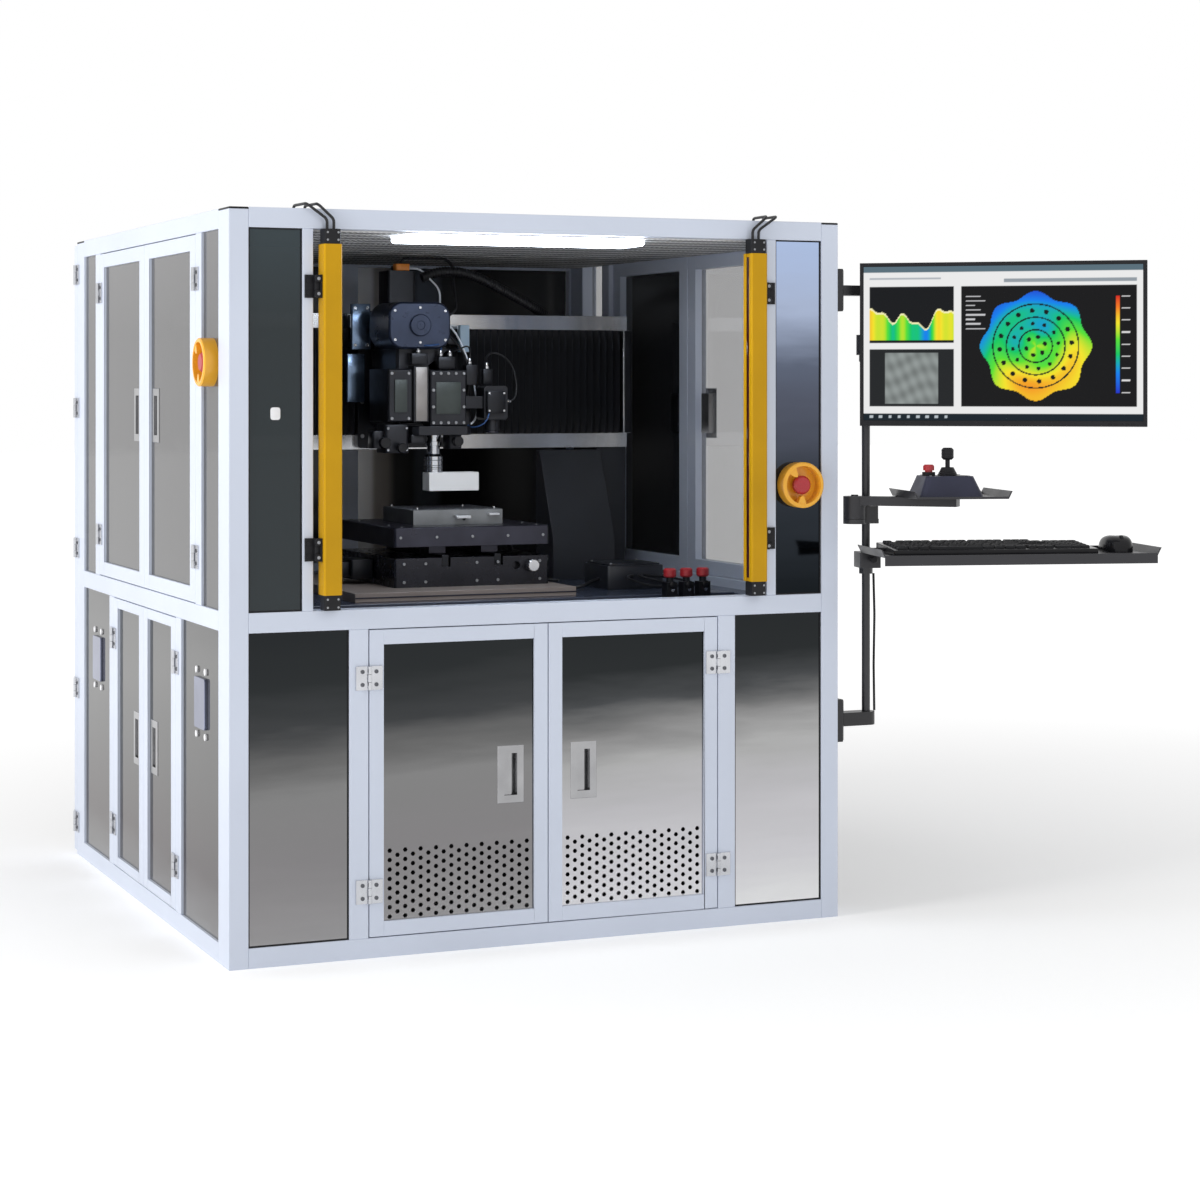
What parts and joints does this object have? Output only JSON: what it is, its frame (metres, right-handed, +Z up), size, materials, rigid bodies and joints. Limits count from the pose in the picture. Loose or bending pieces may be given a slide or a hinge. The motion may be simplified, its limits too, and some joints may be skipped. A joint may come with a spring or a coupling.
{
  "type": "optical profiler",
  "caption": "Free-standing cabinet with an optical surface profiler on a bridge over a sample stage, with panelled doors, light curtains and a side operator station.",
  "frame": {"origin": "middle of the cabinet frame's footprint, on the floor plane under the base pan", "axes": "+Z up; the open front of the chamber faces -Y; +X is to the right of a person standing in front"},
  "size_m": [2.0215, 1.8413, 1.512],
  "materials": {
    "frame_aluminium": "pale anodised and satin",
    "black_plastic": "moulded black",
    "smoked_acrylic": "smoked clear sheet",
    "polished_steel": "polished stainless",
    "white_sheet": "white powder coat",
    "deck_paint": "dark blue powder coat",
    "dark_sheet": "dark powder coat",
    "lamp_white": "opal diffuser",
    "slab_iron": "dark satin coat",
    "dark_metal": "black coat",
    "bellows_fabric": "coated black cloth",
    "stage_black": "dark anodised",
    "yellow_paint": "yellow powder coat",
    "yellow_plastic": "glossy yellow",
    "hinge_steel": "polished",
    "bracket_steel": "pale grey coat",
    "mast_black": "black coat",
    "cable_rubber": "black sheath",
    "valve_black": "black body with red cap",
    "carriage_black": "black anodised",
    "head_grey": "dark anodised",
    "barrel_steel": "turned and plated",
    "arm_white": "white coat",
    "chuck_grey": "satin anodised",
    "knob_steel": "knurled",
    "red_plastic": "glossy red",
    "monitor_black": "moulded black",
    "joystick_plastic": "dark blue-grey moulding"
  },
  "bodies": {
    "cabinet": {"corner_posts": "frame_aluminium", "frame_rails": "frame_aluminium", "post_caps": "black_plastic", "fixed_acrylic_panels": "smoked_acrylic", "fixed_steel_panels": "polished_steel", "roof_panel": "white_sheet", "base_pan": "white_sheet", "deck_plate": "deck_paint", "ceiling_grille": "dark_sheet", "ceiling_light": "lamp_white", "base_slab": "slab_iron", "isolators": "dark_metal", "control_cabinet": "dark_sheet", "bridge_beam": "slab_iron", "bridge_rails": "polished_steel", "bellows_left": "bellows_fabric", "bellows_right": "bellows_fabric", "stage_base": "stage_black", "curtain_housings": "yellow_paint", "curtain_fittings": "black_plastic", "stop_shrouds": "yellow_plastic", "hinge_leaves": "hinge_steel", "utility_covers": "polished_steel", "station_brackets": "bracket_steel", "station_mast": "mast_black", "cable_runs": "cable_rubber", "air_valves": "valve_black"},
    "x_carriage": {"x_carriage": "carriage_black", "head_cables": "cable_rubber"},
    "measuring_head": {"head_body": "head_grey", "objective": "barrel_steel", "reference_arm": "arm_white"},
    "stage": {"stage_plate": "stage_black", "sample_chuck": "chuck_grey"},
    "stage_knob": {"stage_knob": "knob_steel"},
    "front_left_door": {"front_left_door": "frame_aluminium", "front_left_door_panel": "polished_steel"},
    "front_right_door": {"front_right_door": "frame_aluminium", "front_right_door_panel": "polished_steel"},
    "left_upper_front_door": {"left_upper_front_door": "frame_aluminium", "left_upper_front_door_panel": "smoked_acrylic"},
    "left_upper_rear_door": {"left_upper_rear_door": "frame_aluminium", "left_upper_rear_door_panel": "smoked_acrylic"},
    "left_lower_front_door": {"left_lower_front_door": "frame_aluminium"},
    "left_lower_rear_door": {"left_lower_rear_door": "frame_aluminium"},
    "right_upper_front_door": {"right_upper_front_door": "frame_aluminium"},
    "right_upper_rear_door": {"right_upper_rear_door": "frame_aluminium"},
    "rear_left_door": {"rear_left_door": "frame_aluminium"},
    "rear_right_door": {"rear_right_door": "frame_aluminium"},
    "front_stop_button": {"front_stop_button": "red_plastic"},
    "side_stop_button": {"side_stop_button": "red_plastic"},
    "monitor_arm": {"monitor_arm": "mast_black"},
    "monitor": {"monitor_housing": "monitor_black"},
    "joystick_arm": {"joystick_arm": "bracket_steel", "joystick_base": "joystick_plastic"},
    "joystick_stick": {"joystick_stick": "black_plastic"},
    "joystick_button": {"joystick_button": "red_plastic"},
    "keyboard_tray": {"keyboard_tray": "bracket_steel", "keyboard": "black_plastic", "mouse": "black_plastic"}
  },
  "joints": [
    {"name": "front_left_door_hinge", "type": "hinge", "parent": "cabinet", "child": "front_left_door", "pos_m": [-0.387, -0.7148, 0.35], "axis": [0, 0, -1], "range_deg": [0, 105]},
    {"name": "front_right_door_hinge", "type": "hinge", "parent": "cabinet", "child": "front_right_door", "pos_m": [0.387, -0.7148, 0.35], "axis": [0, 0, 1], "range_deg": [0, 105]},
    {"name": "left_upper_front_door_hinge", "type": "hinge", "parent": "cabinet", "child": "left_upper_front_door", "pos_m": [-0.6798, -0.449, 1.08], "axis": [0, 0, 1], "range_deg": [0, 105]},
    {"name": "left_upper_rear_door_hinge", "type": "hinge", "parent": "cabinet", "child": "left_upper_rear_door", "pos_m": [-0.6798, 0.455, 1.08], "axis": [0, 0, -1], "range_deg": [0, 105]},
    {"name": "left_lower_front_door_hinge", "type": "hinge", "parent": "cabinet", "child": "left_lower_front_door", "pos_m": [-0.6798, -0.282, 0.35], "axis": [0, 0, 1], "range_deg": [0, 105]},
    {"name": "left_lower_rear_door_hinge", "type": "hinge", "parent": "cabinet", "child": "left_lower_rear_door", "pos_m": [-0.6798, 0.306, 0.35], "axis": [0, 0, -1], "range_deg": [0, 105]},
    {"name": "right_upper_front_door_hinge", "type": "hinge", "parent": "cabinet", "child": "right_upper_front_door", "pos_m": [0.6798, -0.449, 1.08], "axis": [0, 0, -1], "range_deg": [0, 105]},
    {"name": "right_upper_rear_door_hinge", "type": "hinge", "parent": "cabinet", "child": "right_upper_rear_door", "pos_m": [0.6798, 0.455, 1.08], "axis": [0, 0, 1], "range_deg": [0, 105]},
    {"name": "rear_left_door_hinge", "type": "hinge", "parent": "cabinet", "child": "rear_left_door", "pos_m": [-0.6798, 0.7105, 0.75], "axis": [0, 0, 1], "range_deg": [0, 105]},
    {"name": "rear_right_door_hinge", "type": "hinge", "parent": "cabinet", "child": "rear_right_door", "pos_m": [0.6798, 0.7105, 0.75], "axis": [0, 0, -1], "range_deg": [0, 105]},
    {"name": "x_travel", "type": "slide", "parent": "cabinet", "child": "x_carriage", "axis": [1, 0, 0], "range_m": [-0.2, 0.2], "deforming": ["bellows_left", "bellows_right"]},
    {"name": "focus_travel", "type": "slide", "parent": "x_carriage", "child": "measuring_head", "axis": [0, 0, 1], "range_m": [-0.03, 0.06]},
    {"name": "stage_travel", "type": "slide", "parent": "cabinet", "child": "stage", "axis": [0, 1, 0], "range_m": [-0.05, 0.05]},
    {"name": "stage_knob_turn", "type": "hinge", "parent": "cabinet", "child": "stage_knob", "pos_m": [0.138, -0.272, 0.747], "axis": [0, -1, 0], "continuous": true},
    {"name": "front_stop_press", "type": "slide", "parent": "cabinet", "child": "front_stop_button", "axis": [0, 1, 0], "range_m": [0, 0.005], "stiffness_N_per_m": 1500},
    {"name": "side_stop_press", "type": "slide", "parent": "cabinet", "child": "side_stop_button", "axis": [1, 0, 0], "range_m": [0, 0.005], "stiffness_N_per_m": 1500},
    {"name": "monitor_swivel", "type": "hinge", "parent": "cabinet", "child": "monitor_arm", "pos_m": [0.76, -0.68, 1.237], "axis": [0, 0, 1], "range_deg": [-8, 45]},
    {"name": "monitor_tilt", "type": "hinge", "parent": "monitor_arm", "child": "monitor", "pos_m": [0.9964, -0.8647, 1.237], "axis": [0.788, -0.6157, 0], "range_deg": [-4, 12]},
    {"name": "joystick_arm_swivel", "type": "hinge", "parent": "cabinet", "child": "joystick_arm", "pos_m": [0.7246, -0.69385, 0.883], "axis": [0, 0, 1], "range_deg": [-45, 12]},
    {"name": "joystick_tilt", "type": "hinge", "parent": "joystick_arm", "child": "joystick_stick", "pos_m": [0.86997, -0.84243, 0.9623], "axis": [0.9703, -0.2419, 0], "range_deg": [-15, 15], "stiffness_Nm_per_rad": 0.6},
    {"name": "joystick_button_press", "type": "slide", "parent": "joystick_arm", "child": "joystick_button", "axis": [0, 0, -1], "range_m": [0, 0.003], "stiffness_N_per_m": 300},
    {"name": "keyboard_tray_swivel", "type": "hinge", "parent": "cabinet", "child": "keyboard_tray", "pos_m": [0.76, -0.68, 0.77], "axis": [0, 0, 1], "range_deg": [-20, 20]}
  ]
}
